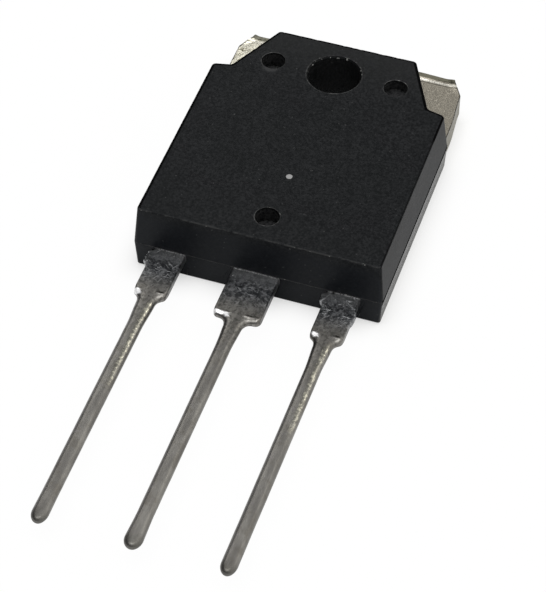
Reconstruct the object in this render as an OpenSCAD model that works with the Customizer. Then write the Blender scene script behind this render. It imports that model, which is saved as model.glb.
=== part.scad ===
// Power transistor in a three-lead moulded package with a screw hole.
// It lies on its back: the header plate's bare back is the seating plane at z = 0,
// the moulded front face points to +Z and the leads point to -Y.
// The origin is the axis of the screw hole on the seating plane. Millimetres.

/* [Moulded body] */
// Width across the two long sides at the parting plane
body_w = 15.6; // [15.2:0.1:16.4]
// Thickness from the seating plane to the front face
body_t = 4.8; // [4.5:0.1:5.6]
// Distance from the hole axis to the lead end of the body
body_end = 15.1; // [14.7:0.1:17]
// Distance from the hole axis up to the top of the tongue
tongue_top = 3.3; // [2.9:0.1:3.8]
// Width of the tongue at its top
tongue_top_w = 9.6; // [8.6:0.1:10.6]
// Width of each shoulder beside the root of the tongue
shoulder_w = 1.1; // [0.8:0.1:1.6]
// Distance from the hole axis down to the root of the tongue
shoulder_drop = 0.7; // [0.4:0.1:1.4]
// Further drop of each shoulder towards its outer corner
shoulder_fall = 0.25; // [0.05:0.05:0.5]
// Draft of the tongue and the shoulders, in degrees
tongue_draft = 9.5; // [4:0.5:12]
// Draft of the long sides in front of the parting plane, in degrees
side_draft = 5; // [2:0.5:8]
// Draft of the lead end in front of the parting plane, in degrees
end_draft = 3; // [1:0.5:6]
// Draft of the half behind the parting plane, in degrees
back_draft = 3; // [1:0.5:5]
// Step from the front half in to the back half along the parting line
parting_step = 0.02; // [0.01:0.01:0.1]
// Plan radius of the front half's outer corners
corner_r = 0.25; // [0.15:0.05:0.5]
// Plan radius of the back half's two corners at the lead end
back_corner_r = 0.15; // [0.1:0.05:0.6]
// Plan radius of the two inner corners under the tongue
notch_r = 0.4; // [0.1:0.05:0.6]
// Edge radius around the front face
front_edge_r = 0.12; // [0.05:0.01:0.25]
// Edge radius along the back of the long sides and the lead end
back_edge_r = 0.1; // [0.05:0.01:0.3]
// How far the moulded back stays behind the seating plane
back_relief = 0.05; // [0.02:0.01:0.15]

/* [Screw hole] */
// Diameter of the hole through the moulding
bore_d = 3.3; // [3:0.1:3.8]
// Chamfer around the hole's front rim
bore_rim = 0.09; // [0.05:0.01:0.2]

/* [Pin marks] */
// Diameter of the three round pin marks in the front face
pin_mark_d = 1.5; // [1:0.1:2]
// Depth of the pin marks
pin_mark_depth = 1.1; // [0.5:0.1:1.3]
// Depth of the right mark, which is shallower
right_mark_depth = 0.75; // [0.3:0.05:1.3]
// Distance between the two pin marks beside the hole
pin_mark_spacing = 8; // [7:0.1:8.4]
// Distance from the hole axis down to the pin mark near the leads
pin_mark_drop = 13.1; // [12:0.1:13.4]

/* [Header plate] */
// Thickness of the plate
plate_t = 2; // [1.8:0.1:2.4]
// How far each ear stays in from the side of the moulding
ear_inset = 0.25; // [0.2:0.05:0.6]
// Distance from the hole axis up to the plate's top edge
plate_top = 4.75; // [4.5:0.05:5.4]
// Width cut from each ear's corner
ear_cut_w = 0.7; // [0.4:0.1:1.2]
// Height cut from each ear's corner
ear_cut_h = 1.15; // [0.8:0.05:1.8]
// Wall of moulding beside the plate, below the ears
side_wall = 1.2; // [1.1:0.1:2.3]
// Distance from the hole axis down to the plate's lower edge
plate_end = 12; // [11.2:0.1:12.2]
// Length of the cove that rises to the plate's top edge
cove_run = 0.6; // [0.4:0.05:0.8]
// Radius of that cove
cove_r = 1; // [0.9:0.05:1.5]
// Rolled radius of the ears' back edges
roll_r = 0.5; // [0.2:0.05:0.8]
// Diameter of the plate's hole, which the moulding lines
plate_hole_d = 4.4; // [4.2:0.1:5]

/* [Leads] */
// Distance between neighbouring leads
lead_pitch = 5.45; // [5.2:0.05:5.6]
// Thickness of the leads
lead_t = 0.6; // [0.5:0.05:0.8]
// Width of the narrow part of each lead
lead_w = 0.95; // [0.8:0.05:1.3]
// Length of the leads outside the body
lead_length = 21; // [16:0.1:24]
// Width of the outer leads' wide part
outer_wide_w = 2; // [1.8:0.1:2.4]
// Width of the middle lead's wide part
middle_wide_w = 2.9; // [2.6:0.1:3.4]
// Length of the wide part outside the body
wide_length = 3.75; // [3:0.05:5]
// Radius of the shoulders left by the cut-away dam bar
lead_shoulder_r = 0.35; // [0.2:0.05:0.4]
// Fillet radius from a shoulder into the narrow part
neck_r = 0.4; // [0.2:0.05:0.5]
// Rounding of the narrow part's four long edges
lead_edge_r = 0.2; // [0.08:0.01:0.22]
// Width of the bonding post at the inner end of an outer lead
post_w = 3.2; // [2.6:0.1:3.6]
// Length of the bonding post
post_length = 1.7; // [1.4:0.1:1.9]
// Gap between the plate's lower edge and the posts
post_gap = 0.6; // [0.4:0.1:0.7]
// Wall of moulding beside the posts
post_wall = 1.15; // [1:0.05:1.5]

/* [Chip] */
// Side of the square chip
die_side = 4.6; // [3:0.1:6]
// Thickness of the chip
die_t = 0.25; // [0.15:0.05:0.4]
// Distance from the hole axis down to the chip's middle
die_drop = 6.4; // [6:0.1:7]
// Thickness of the solder under the chip
solder_t = 0.08; // [0.04:0.01:0.15]
// Width of the solder fillet that shows around the chip
solder_margin = 0.3; // [0.1:0.05:0.5]

/* [Bond wires] */
// Diameter of the wire to the base lead
base_wire_d = 0.25; // [0.15:0.05:0.3]
// Diameter of the wire to the emitter lead
emitter_wire_d = 0.38; // [0.25:0.01:0.5]
// Rise of the wire loops above the line between their feet
loop_rise = 1; // [0.6:0.1:1.2]
// Distance between the two bond pads on the chip
pad_spacing = 2; // [1.4:0.1:2.4]
// Distance from the chip's lower edge up to its bond pads
pad_inset = 1; // [0.8:0.1:1.2]
// Length of a wire's flattened foot
foot_length = 0.9; // [0.6:0.1:1]
// Thickness of a foot as a share of the wire's diameter
foot_flat = 0.5; // [0.4:0.05:0.7]
// Width of a foot as a share of the wire's diameter
foot_spread = 1.4; // [1.2:0.1:1.6]

/* [Hidden] */
$fn = 48;
eps = 0.01;
mould_color = [0.16, 0.16, 0.165];
plate_color = [0.66, 0.64, 0.59];
tin_color = [0.6, 0.6, 0.57];
solder_color = [0.5, 0.51, 0.52];
die_color = [0.3, 0.32, 0.36];
wire_color = [0.86, 0.87, 0.88];
corner_steps = 6;
edge_steps = 4;
back_depth = plate_t - back_relief;
shoulder_y = -shoulder_drop - shoulder_fall;
tongue_root_w = body_w - 2 * shoulder_w;
plate_w = body_w - 2 * ear_inset;
plate_neck_w = body_w - 2 * side_wall;
lead_z = plate_t - lead_t;
lead_tip_y = -body_end - lead_length;
lead_shoulder_y = -body_end - wide_length;
neck_y = lead_shoulder_y - neck_r;
post_top_y = -plate_end - post_gap;
post_end_y = post_top_y - post_length;
post_x = body_w / 2 - post_wall - post_w / 2;
die_y = -die_drop;
die_top_z = plate_t + solder_t + die_t;
pad_y = die_y - die_side / 2 + pad_inset;
post_pad_y = (post_top_y + post_end_y) / 2;
cove_rise = cove_r - sqrt(cove_r * cove_r - cove_run * cove_run);

// Corners of the front half at the parting plane, anticlockwise from the lower right
front_corners = [
    [body_w / 2, -body_end],
    [body_w / 2, shoulder_y],
    [tongue_root_w / 2, -shoulder_drop],
    [tongue_top_w / 2, tongue_top],
    [-tongue_top_w / 2, tongue_top],
    [-tongue_root_w / 2, -shoulder_drop],
    [-body_w / 2, shoulder_y],
    [-body_w / 2, -body_end]
];
front_radii = [corner_r, corner_r, notch_r, corner_r, corner_r, notch_r, corner_r, corner_r];
// Draft of each side of that outline, starting with the right side
front_drafts = [side_draft, tongue_draft, tongue_draft, tongue_draft,
                tongue_draft, tongue_draft, side_draft, end_draft];

// Corners of the half behind the parting plane, which ends at the ears
back_corners = [
    [body_w / 2 - parting_step, -body_end + parting_step],
    [body_w / 2 - parting_step, shoulder_y],
    [-body_w / 2 + parting_step, shoulder_y],
    [-body_w / 2 + parting_step, -body_end + parting_step]
];
back_radii = [back_corner_r, 0, 0, back_corner_r];
// The side against the ears stays square to the seating plane
back_sides = [1, 0, 1, 1];

function wrap(list, i) = list[(i + len(list)) % len(list)];
function unit(v) = v / norm(v);
function left_of(v) = [-v[1], v[0]];

// Point where two sides of an outline meet after each has moved inwards by its own distance
function inset_corner(corners, insets, i) =
    let (
        here = corners[i],
        along_before = unit(here - wrap(corners, i - 1)),
        along_after = unit(wrap(corners, i + 1) - here),
        point_before = here + left_of(along_before) * wrap(insets, i - 1),
        point_after = here + left_of(along_after) * insets[i],
        turn = cross(along_before, along_after),
        reach = cross(point_after - point_before, along_after) / turn
    )
    point_before + along_before * reach;

function inset_outline(corners, insets) =
    [for (i = [0 : len(corners) - 1]) inset_corner(corners, insets, i)];

// Arc of points that rounds one corner, on whichever side the outline turns
function rounded_corner(corners, radii, i) =
    let (
        here = corners[i],
        along_before = unit(here - wrap(corners, i - 1)),
        along_after = unit(wrap(corners, i + 1) - here),
        turn = atan2(cross(along_before, along_after), along_before * along_after),
        side = sign(turn),
        setback = radii[i] * tan(abs(turn) / 2),
        centre = here - along_before * setback + left_of(along_before) * radii[i] * side,
        arm = -left_of(along_before) * radii[i] * side
    )
    radii[i] == 0 ? [here] :
    [for (k = [0 : corner_steps])
        let (a = turn * k / corner_steps)
        centre + [arm[0] * cos(a) - arm[1] * sin(a), arm[0] * sin(a) + arm[1] * cos(a)]];

function rounded_outline(corners, radii) =
    [for (i = [0 : len(corners) - 1]) each rounded_corner(corners, radii, i)];

function level_ring(corners, radii, insets, z) =
    [for (p = rounded_outline(inset_outline(corners, insets), radii)) [p[0], p[1], z]];

// Heights and extra insets of the rings that round an edge, from its foot to its flat
function edge_levels(r) =
    [for (k = [0 : edge_steps])
        let (a = 90 * k / edge_steps)
        [r * sin(a), r * (1 - cos(a))]];

// Solid through a stack of rings, lowest first, each symmetric about X and with as many points.
// The end faces are strips across from each point of the right side to its mirror point.
module ring_loft(rings) {
    count = len(rings[0]);
    last = len(rings) - 1;
    points = [for (ring = rings) each ring];
    sides = [for (k = [0 : last - 1], i = [0 : count - 1])
        let (j = (i + 1) % count)
        [k * count + i, (k + 1) * count + i, (k + 1) * count + j, k * count + j]];
    bottom = [for (i = [0 : count / 2 - 2]) [i, i + 1, count - 2 - i, count - 1 - i]];
    top = [for (strip = bottom) [for (i = [3 : -1 : 0]) last * count + strip[i]]];
    polyhedron(points, concat(bottom, sides, top), convexity = 6);
}

module front_half() {
    wall_top = body_t - front_edge_r;
    levels = concat([[plate_t, 0]], [for (e = edge_levels(front_edge_r)) [wall_top + e[0], e[1]]]);
    ring_loft([for (level = levels)
        level_ring(front_corners, front_radii,
            [for (d = front_drafts) (level[0] - plate_t) * tan(d) + level[1]], level[0])]);
}

module back_half() {
    wall_end = back_relief + back_edge_r;
    rounds = [for (e = edge_levels(back_edge_r)) [wall_end - e[0], e[1]]];
    levels = concat([for (i = [len(rounds) - 1 : -1 : 0]) rounds[i]], [[plate_t, 0]]);
    ring_loft([for (level = levels)
        level_ring(back_corners, back_radii,
            [for (s = back_sides) s * ((plate_t - level[0]) * tan(back_draft) + level[1])], level[0])]);
}

// Ring of moulding compound inside the plate's hole
module hole_lining() {
    translate([0, 0, back_relief])
        cylinder(d = plate_hole_d, h = back_depth);
}

module screw_bore() {
    translate([0, 0, -eps])
        cylinder(d = bore_d, h = body_t + 2 * eps);
    translate([0, 0, body_t - bore_rim])
        cylinder(d1 = bore_d, d2 = bore_d + 2 * (bore_rim + eps), h = bore_rim + eps);
}

module pin_mark(x, y, depth) {
    translate([x, y, body_t - depth])
        cylinder(d = pin_mark_d, h = depth + eps);
}

module pin_marks() {
    pin_mark(-pin_mark_spacing / 2, 0, pin_mark_depth);
    pin_mark(pin_mark_spacing / 2, 0, right_mark_depth);
    pin_mark(0, -pin_mark_drop, pin_mark_depth);
}

module plate_outline() {
    ear_w = plate_w / 2;
    neck_w = plate_neck_w / 2;
    right = [[neck_w, -plate_end], [neck_w, shoulder_y], [ear_w, shoulder_y],
             [ear_w, plate_top - ear_cut_h], [ear_w - ear_cut_w, plate_top]];
    left = [for (i = [len(right) - 1 : -1 : 0]) [-right[i][0], right[i][1]]];
    polygon(concat(right, left));
}

// Section across the ears, with the rolled back edges
module ear_section() {
    top = plate_t + cove_rise;
    translate([-plate_w / 2, roll_r])
        square([plate_w, top - roll_r]);
    translate([-plate_w / 2 + roll_r, 0])
        square([plate_w - 2 * roll_r, top]);
    for (x = [-plate_w / 2 + roll_r, plate_w / 2 - roll_r])
        translate([x, roll_r])
            circle(roll_r);
}

// Section along the plate, with its rolled top edge behind and the cove in front
module length_section() {
    cove_y = plate_top - cove_run;
    translate([-plate_end, 0])
        square([plate_end + plate_top - roll_r, plate_t]);
    translate([-plate_end, roll_r])
        square([plate_end + plate_top, plate_t - roll_r]);
    translate([plate_top - roll_r, roll_r])
        circle(roll_r);
    difference() {
        translate([cove_y, plate_t - eps])
            square([cove_run, cove_rise + eps]);
        translate([cove_y, plate_t + cove_r])
            circle(cove_r, $fn = 96);
    }
}

module header_plate() {
    intersection() {
        linear_extrude(plate_t + cove_rise)
            plate_outline();
        translate([0, plate_top + eps, 0])
            rotate([90, 0, 0])
                linear_extrude(plate_top + plate_end + 2 * eps)
                    ear_section();
        translate([-plate_w / 2 - eps, 0, 0])
            rotate([90, 0, 90])
                linear_extrude(plate_w + 2 * eps)
                    length_section();
    }
}

// Plan of a lead outside its post: wide part, rounded shoulders, filleted neck and round tip
module lead_plan(wide_w, top_y) {
    inner_w = wide_w / 2 - lead_shoulder_r;
    translate([-wide_w / 2, lead_shoulder_y + lead_shoulder_r])
        square([wide_w, top_y - lead_shoulder_y - lead_shoulder_r]);
    translate([-inner_w, lead_shoulder_y])
        square([2 * inner_w, lead_shoulder_r + eps]);
    for (x = [-inner_w, inner_w])
        translate([x, lead_shoulder_y + lead_shoulder_r])
            circle(lead_shoulder_r);
    translate([-lead_w / 2, lead_tip_y + lead_w / 2])
        square([lead_w, lead_shoulder_y - lead_tip_y]);
    translate([0, lead_tip_y + lead_w / 2])
        circle(lead_w / 2);
    neck_w = min(lead_w / 2 + neck_r, inner_w);
    intersection() {
        translate([-neck_w, neck_y])
            square([2 * neck_w, neck_r + eps]);
        difference() {
            translate([-lead_w / 2 - neck_r, neck_y])
                square([lead_w + 2 * neck_r, neck_r + eps]);
            for (s = [-1, 1])
                translate([s * (lead_w / 2 + neck_r), neck_y])
                    circle(neck_r);
        }
    }
}

// Section of a lead's narrow part, rounded by its dip in solder
module narrow_section() {
    flat_w = lead_w / 2 - lead_edge_r;
    translate([-lead_w / 2, lead_edge_r])
        square([lead_w, lead_t - 2 * lead_edge_r]);
    translate([-flat_w, 0])
        square([2 * flat_w, lead_t]);
    for (x = [-flat_w, flat_w], z = [lead_edge_r, lead_t - lead_edge_r])
        translate([x, z])
            circle(lead_edge_r);
}

module lead(wide_w, top_y) {
    translate([0, 0, lead_z])
        intersection() {
            linear_extrude(lead_t)
                lead_plan(wide_w, top_y);
            union() {
                translate([0, neck_y + eps, 0])
                    rotate([90, 0, 0])
                        linear_extrude(neck_y - lead_tip_y + 2 * eps)
                            narrow_section();
                translate([-wide_w / 2 - eps, neck_y, -eps])
                    cube([wide_w + 2 * eps, top_y - neck_y + eps, lead_t + 2 * eps]);
            }
        }
}

// Outer lead with its bonding post, side = -1 for the base and 1 for the emitter
module posted_lead(side) {
    translate([side * lead_pitch, 0, 0])
        lead(outer_wide_w, post_end_y + eps);
    translate([side * post_x - post_w / 2, post_end_y, lead_z])
        cube([post_w, post_length, lead_t]);
}

// Looped wire from the chip to a post, with a flattened foot on each
module looped_wire(side, d) {
    start = [side * pad_spacing / 2, pad_y, die_top_z + d / 2];
    end = [side * post_x, post_pad_y, plate_t + d / 2];
    run = end - start;
    plan_run = norm([run[0], run[1]]);
    heading = atan2(run[1], run[0]);
    slope = atan2(run[2], plan_run);
    chord = norm(run);
    loop_r = (chord * chord / 4 + loop_rise * loop_rise) / (2 * loop_rise);
    half_turn = asin(chord / 2 / loop_r);
    translate((start + end) / 2)
        rotate([0, -slope, heading])
            translate([0, 0, loop_rise - loop_r])
                rotate([90, 0, 0])
                    rotate([0, 0, 90 - half_turn])
                        rotate_extrude(angle = 2 * half_turn)
                            translate([loop_r, 0])
                                circle(d / 2, $fn = 24);
    wire_foot(start, heading + 180, d);
    wire_foot(end, heading, d);
}

module wire_foot(place, heading, d) {
    foot_w = foot_spread * d;
    translate([place[0], place[1], place[2] - d / 2])
        rotate([0, 0, heading]) {
            translate([0, -foot_w / 2, 0])
                cube([foot_length - foot_w, foot_w, foot_flat * d]);
            for (x = [0, foot_length - foot_w])
                translate([x, 0, 0])
                    cylinder(d = foot_w, h = foot_flat * d);
        }
}

module die_block(side, t, z) {
    translate([-side / 2, die_y - side / 2, z])
        cube([side, side, t]);
}

module mould_body() {
    color(mould_color)
        difference() {
            union() {
                front_half();
                back_half();
                hole_lining();
            }
            difference() {
                translate([0, 0, -eps])
                    linear_extrude(plate_t + eps)
                        plate_outline();
                cylinder(d = plate_hole_d, h = plate_t);
            }
            lead(middle_wide_w, -plate_end + eps);
            for (side = [-1, 1])
                posted_lead(side);
            die_block(die_side + 2 * solder_margin, solder_t, plate_t);
            die_block(die_side, die_t, plate_t + solder_t);
            looped_wire(-1, base_wire_d);
            looped_wire(1, emitter_wire_d);
            screw_bore();
            pin_marks();
        }
}

module collector_header() {
    color(plate_color)
        difference() {
            union() {
                header_plate();
                lead(middle_wide_w, -plate_end + eps);
            }
            translate([0, 0, -eps])
                cylinder(d = plate_hole_d, h = plate_t + 2 * eps);
        }
}

module base_lead() {
    color(tin_color)
        posted_lead(-1);
}

module emitter_lead() {
    color(tin_color)
        posted_lead(1);
}

module die_solder() {
    color(solder_color)
        die_block(die_side + 2 * solder_margin, solder_t, plate_t);
}

module transistor_die() {
    color(die_color)
        die_block(die_side, die_t, plate_t + solder_t);
}

module base_bond_wire() {
    color(wire_color)
        looped_wire(-1, base_wire_d);
}

module emitter_bond_wire() {
    color(wire_color)
        looped_wire(1, emitter_wire_d);
}

mould_body();
collector_header();
base_lead();
emitter_lead();
die_solder();
transistor_die();
base_bond_wire();
emitter_bond_wire();
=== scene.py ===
import math

import bmesh
import bpy
from mathutils import Matrix, Vector, noise


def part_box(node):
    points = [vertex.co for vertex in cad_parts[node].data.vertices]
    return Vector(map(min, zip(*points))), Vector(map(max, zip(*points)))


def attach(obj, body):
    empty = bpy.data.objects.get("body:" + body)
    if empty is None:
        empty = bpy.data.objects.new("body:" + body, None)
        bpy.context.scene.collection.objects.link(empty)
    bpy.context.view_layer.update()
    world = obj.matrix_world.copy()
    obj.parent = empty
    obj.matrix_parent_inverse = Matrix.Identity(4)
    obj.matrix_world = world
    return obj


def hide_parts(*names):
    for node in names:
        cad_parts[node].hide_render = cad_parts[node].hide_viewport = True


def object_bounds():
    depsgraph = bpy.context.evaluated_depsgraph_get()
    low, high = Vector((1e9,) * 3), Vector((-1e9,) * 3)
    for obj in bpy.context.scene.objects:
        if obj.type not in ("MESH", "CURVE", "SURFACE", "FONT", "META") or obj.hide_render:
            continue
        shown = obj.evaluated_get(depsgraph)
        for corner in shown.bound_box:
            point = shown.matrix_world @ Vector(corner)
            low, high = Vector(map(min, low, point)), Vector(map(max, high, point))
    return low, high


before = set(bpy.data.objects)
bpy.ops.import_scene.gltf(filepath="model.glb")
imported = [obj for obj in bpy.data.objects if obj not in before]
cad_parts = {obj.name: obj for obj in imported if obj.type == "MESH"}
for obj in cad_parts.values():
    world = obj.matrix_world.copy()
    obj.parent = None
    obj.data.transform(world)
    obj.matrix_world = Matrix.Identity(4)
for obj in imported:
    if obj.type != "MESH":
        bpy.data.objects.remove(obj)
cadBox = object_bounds()
mm = 0.001
scene = bpy.context.scene
scene.view_settings.view_transform = "Standard"
print("frame loaded:", sorted(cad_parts))


# node trees: a board takes nodes, a wire is one of their sockets
class Wire:
    def __init__(self, board, socket):
        self.board = board
        self.socket = socket

    def math(self, operation, *values):
        inputs = dict(enumerate(values))
        return self.board.node("ShaderNodeMath", {"operation": operation}, inputs)

    def __add__(self, other):
        return self.math("ADD", self, other)

    def __radd__(self, other):
        return self.math("ADD", other, self)

    def __sub__(self, other):
        return self.math("SUBTRACT", self, other)

    def __rsub__(self, other):
        return self.math("SUBTRACT", other, self)

    def __mul__(self, other):
        return self.math("MULTIPLY", self, other)

    def __rmul__(self, other):
        return self.math("MULTIPLY", other, self)

    def __truediv__(self, other):
        return self.math("DIVIDE", self, other)

    def __rtruediv__(self, other):
        return self.math("DIVIDE", other, self)

    def __pow__(self, other):
        return self.math("POWER", self, other)

    def atMost(self, other):
        return self.math("MINIMUM", self, other)

    def atLeast(self, other):
        return self.math("MAXIMUM", self, other)

    def floor(self):
        return self.math("FLOOR", self)

    def sin(self):
        return self.math("SINE", self)

    def cos(self):
        return self.math("COSINE", self)

    def ramp(self, low, high):  # 0 below low, 1 above high, smooth between
        return self.board.node(
            "ShaderNodeMapRange",
            {"interpolation_type": "SMOOTHSTEP"},
            {"Value": self, "From Min": low, "From Max": high},
        )

    def clamp(self):
        return self.board.node("ShaderNodeClamp", None, {"Value": self})

    def size(self):
        return self.math("ABSOLUTE", self)

    def band(self, middle, half, soft):  # 1 within half of the middle, fading over soft
        return 1.0 - (self - middle).size().ramp(half, half + soft)


class Board:
    def __init__(self, tree):
        self.tree = tree

    def node(self, kind, settings=None, inputs=None, output=0):
        made = self.tree.nodes.new(kind)
        for name, value in (settings or {}).items():
            setattr(made, name, value)
        for key, value in (inputs or {}).items():
            if isinstance(value, Wire):
                self.tree.links.new(value.socket, made.inputs[key])
            else:
                made.inputs[key].default_value = value
        return Wire(self, made.outputs[output]) if made.outputs else None

    def blend(self, factor, first, second):  # colours, mixed by a factor
        return self.node("ShaderNodeMix", {"data_type": "RGBA"}, {0: factor, 6: first, 7: second}, 2)

    def vector(self, operation, first, second):
        return self.node("ShaderNodeVectorMath", {"operation": operation}, {0: first, 1: second})

    def scaled(self, vector, factor):
        return self.node("ShaderNodeVectorMath", {"operation": "SCALE"}, {0: vector, "Scale": factor})

    def turned(self, place, angle):  # about Z
        rotate = {"rotation_type": "Z_AXIS"}
        return self.node("ShaderNodeVectorRotate", rotate, {"Vector": place, "Angle": angle})

    def parts(self, place):
        return [self.node("ShaderNodeSeparateXYZ", None, {"Vector": place}, axis) for axis in "XYZ"]

    def reach(self, x, y):  # length of a flat arm
        return (x * x + y * y) ** 0.5

    def noise(self, place, scale, detail=2.0, roughness=0.5, seed=0.0):
        return self.node(
            "ShaderNodeTexNoise",
            {"noise_dimensions": "4D"},
            {"Vector": place, "Scale": scale, "Detail": detail, "Roughness": roughness, "W": seed},
        )

    def bump(self, strength, depth, height):
        return self.node(
            "ShaderNodeBump", None, {"Strength": strength, "Distance": depth, "Height": height}
        )


def newMaterial(name):
    material = bpy.data.materials.new(name)
    material.use_nodes = True
    material.node_tree.nodes.clear()
    return material, Board(material.node_tree)


def closeMaterial(board, shader):
    board.node("ShaderNodeOutputMaterial", None, {"Surface": shader})


def closeMetal(board, tone, metallic, rough, bump):
    values = {"Base Color": tone, "Metallic": metallic, "Roughness": rough, "Normal": bump}
    closeMaterial(board, board.node("ShaderNodeBsdfPrincipled", None, values))


def objectPlace(board):  # millimetres on the part
    place = board.node("ShaderNodeTexCoord", None, None, "Object")
    return board.scaled(place, 1 / mm)


# camera: the photograph's own view of the part
cameraView = {
    "azimuth": 18.286,  # degrees round the part, 0 looks along +Y
    "elevation": 47.593,
    "roll": 0.361,
    "distance": 153.048 * mm,
    "aimRight": -3.807 * mm,
    "aimUp": -10.602 * mm,
    "focalPixels": 2392.475,
    "imageHeight": 592,
    "sensor": 36.0,
}


def makeCamera(view):
    turn = math.radians(view["azimuth"])
    rise = math.radians(view["elevation"])
    roll = math.radians(view["roll"])
    right = Vector((math.cos(turn), math.sin(turn), 0))
    back = Vector((math.sin(turn) * math.cos(rise), -math.cos(turn) * math.cos(rise), math.sin(rise)))
    up = back.cross(right)
    across = right * math.cos(roll) + up * math.sin(roll)
    above = up * math.cos(roll) - right * math.sin(roll)
    data = bpy.data.cameras.new("photoCamera")
    data.sensor_width = view["sensor"]
    data.lens = view["focalPixels"] / view["imageHeight"] * view["sensor"]
    data.clip_start = 1 * mm
    data.clip_end = 100
    camera = bpy.data.objects.new("photoCamera", data)
    turned = Matrix((across, above, back)).transposed().to_4x4()
    place = across * view["aimRight"] + above * view["aimUp"] + back * view["distance"]
    camera.matrix_world = Matrix.Translation(place) @ turned
    scene.collection.objects.link(camera)
    scene.camera = camera


makeCamera(cameraView)
print("camera placed")


# stage: pale floor, soft sky and soft boxes
stageLook = {
    "floorHalf": 4.0,
    "floorDrop": 0.02 * mm,
    "floorColor": (0.95, 0.95, 0.945, 1),
    "floorWhite": 0.97,  # share of plain white, away from the part
    "whiteSeen": (-2.5, 2.0),  # millimetres from the moulding, where the white sets in and is full
    "whiteBeside": (0.0, 0.3),  # the same for what is mirrored, beside the moulding and off its ends
    "whiteBeyond": (1.8, 6.5),
    "skyBright": (1.1, 1.09, 1.06, 1),
    "skyPlain": (0.31, 0.31, 0.312, 1),
    "skyDim": (0.15, 0.15, 0.155, 1),
    "brightWay": (0.75, 0.1, 0.65),  # the sky is brightest there and dims away from it
    "plainFrom": (-0.5, 0.15),  # shares of that way, where the dim sky turns plain and then bright
    "brightFrom": (0.45, 0.95),
}
softBoxes = {  # way from the part, distance, width and height, radiance
    "topBox": {"towards": (-0.05, -0.12, 0.99), "distance": 1.5, "size": (1.25, 1.15), "glow": 3.0,
               "color": (1, 1, 1)},
    "backBox": {"towards": (-0.5, 0.7, 0.5), "distance": 1.5, "size": (0.6, 0.7), "glow": 1.7,
                "color": (1, 0.99, 0.95)},
    "sideBox": {"towards": (0.5, 0.6, 0.62), "distance": 1.5, "size": (0.2, 0.2), "glow": 2.6,
                "color": (1, 0.95, 0.86)},
}


def makeFloor(look):
    half = look["floorHalf"]
    mesh = bpy.data.meshes.new("floor")
    corners = [(-half, -half), (half, -half), (half, half), (-half, half)]
    low = cadBox[0].z - look["floorDrop"]
    mesh.from_pydata([(x, y, low) for x, y in corners], [], [(0, 1, 2, 3)])
    material, board = newMaterial("paleFloor")
    matte = board.node("ShaderNodeBsdfDiffuse", None, {"Color": look["floorColor"]})
    white = board.node("ShaderNodeEmission", None, {"Strength": 1.0})
    path = "ShaderNodeLightPath"
    seen = board.node(path, None, None, "Is Camera Ray")
    mirrored = board.node(path, None, None, "Is Glossy Ray")
    mirrored = mirrored.atLeast(board.node(path, None, None, "Is Transmission Ray"))
    # distance from the moulding's footprint, so that the part keeps its shadow
    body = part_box("mould_body")
    middle = (body[0] + body[1]) / 2 / mm
    reach = (body[1] - body[0]) / 2 / mm
    arm = board.vector("SUBTRACT", objectPlace(board), (middle.x, middle.y, 0))
    arm = board.node("ShaderNodeVectorMath", {"operation": "ABSOLUTE"}, {0: arm})
    arm = board.vector("MAXIMUM", board.vector("SUBTRACT", arm, (reach.x, reach.y, 0)), (0, 0, 0))
    apart = board.node("ShaderNodeVectorMath", {"operation": "LENGTH"}, {0: arm}, "Value")
    apartX, apartY, _ = board.parts(arm)
    reflected = apartX.ramp(*look["whiteBeside"]).atLeast(apartY.ramp(*look["whiteBeyond"]))
    share = seen * apart.ramp(*look["whiteSeen"]) + mirrored * reflected
    share = share.atMost(1.0) * look["floorWhite"]
    shader = board.node("ShaderNodeMixShader", None, {0: share, 1: matte, 2: white})
    closeMaterial(board, shader)
    mesh.materials.append(material)
    floor = bpy.data.objects.new("floor", mesh)
    scene.collection.objects.link(floor)


def makeSky(look):
    world = bpy.data.worlds.new("softSky")
    world.use_nodes = True
    world.node_tree.nodes.clear()
    board = Board(world.node_tree)
    way = board.node("ShaderNodeTexCoord", None, None, "Generated")
    towards = board.node(
        "ShaderNodeVectorMath", {"operation": "DOT_PRODUCT"}, {0: way, 1: look["brightWay"]}, "Value"
    )
    color = board.blend(towards.ramp(*look["plainFrom"]), look["skyDim"], look["skyPlain"])
    color = board.blend(towards.ramp(*look["brightFrom"]), color, look["skyBright"])
    light = board.node("ShaderNodeBackground", None, {"Color": color})
    board.node("ShaderNodeOutputWorld", None, {"Surface": light})
    scene.world = world


def makeSoftBoxes(boxes):
    for name, box in boxes.items():
        data = bpy.data.lights.new(name, "AREA")
        data.shape = "RECTANGLE"
        data.size, data.size_y = box["size"]
        data.energy = box["glow"] * math.pi * data.size * data.size_y
        data.color = box["color"]
        light = bpy.data.objects.new(name, data)
        way = Vector(box["towards"]).normalized()
        turned = way.to_track_quat("Z", "Y").to_matrix().to_4x4()
        light.matrix_world = Matrix.Translation(way * box["distance"]) @ turned
        scene.collection.objects.link(light)


makeFloor(stageLook)
makeSky(stageLook)
makeSoftBoxes(softBoxes)
print("stage lit")


# meshes
meshCare = {
    "weld": 0.0005 * mm,  # points that close are one
    "flat": 0.3,  # degrees between faces that count as one flat
    "snap": 0.002 * mm,  # for cuts and for the seams of the leads
    "thinArea": 1e-5 * mm * mm,  # slivers: their area and the length of their short edges
    "thin": 0.0015 * mm,
}


def cadCopy(nodeName):  # a node's own triangles, merged into one skin
    skin = bmesh.new()
    skin.from_mesh(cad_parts[nodeName].data)
    bmesh.ops.remove_doubles(skin, verts=skin.verts, dist=meshCare["weld"])
    flat = math.radians(meshCare["flat"])
    bmesh.ops.dissolve_limit(skin, angle_limit=flat, verts=skin.verts, edges=skin.edges)
    return skin


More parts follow.
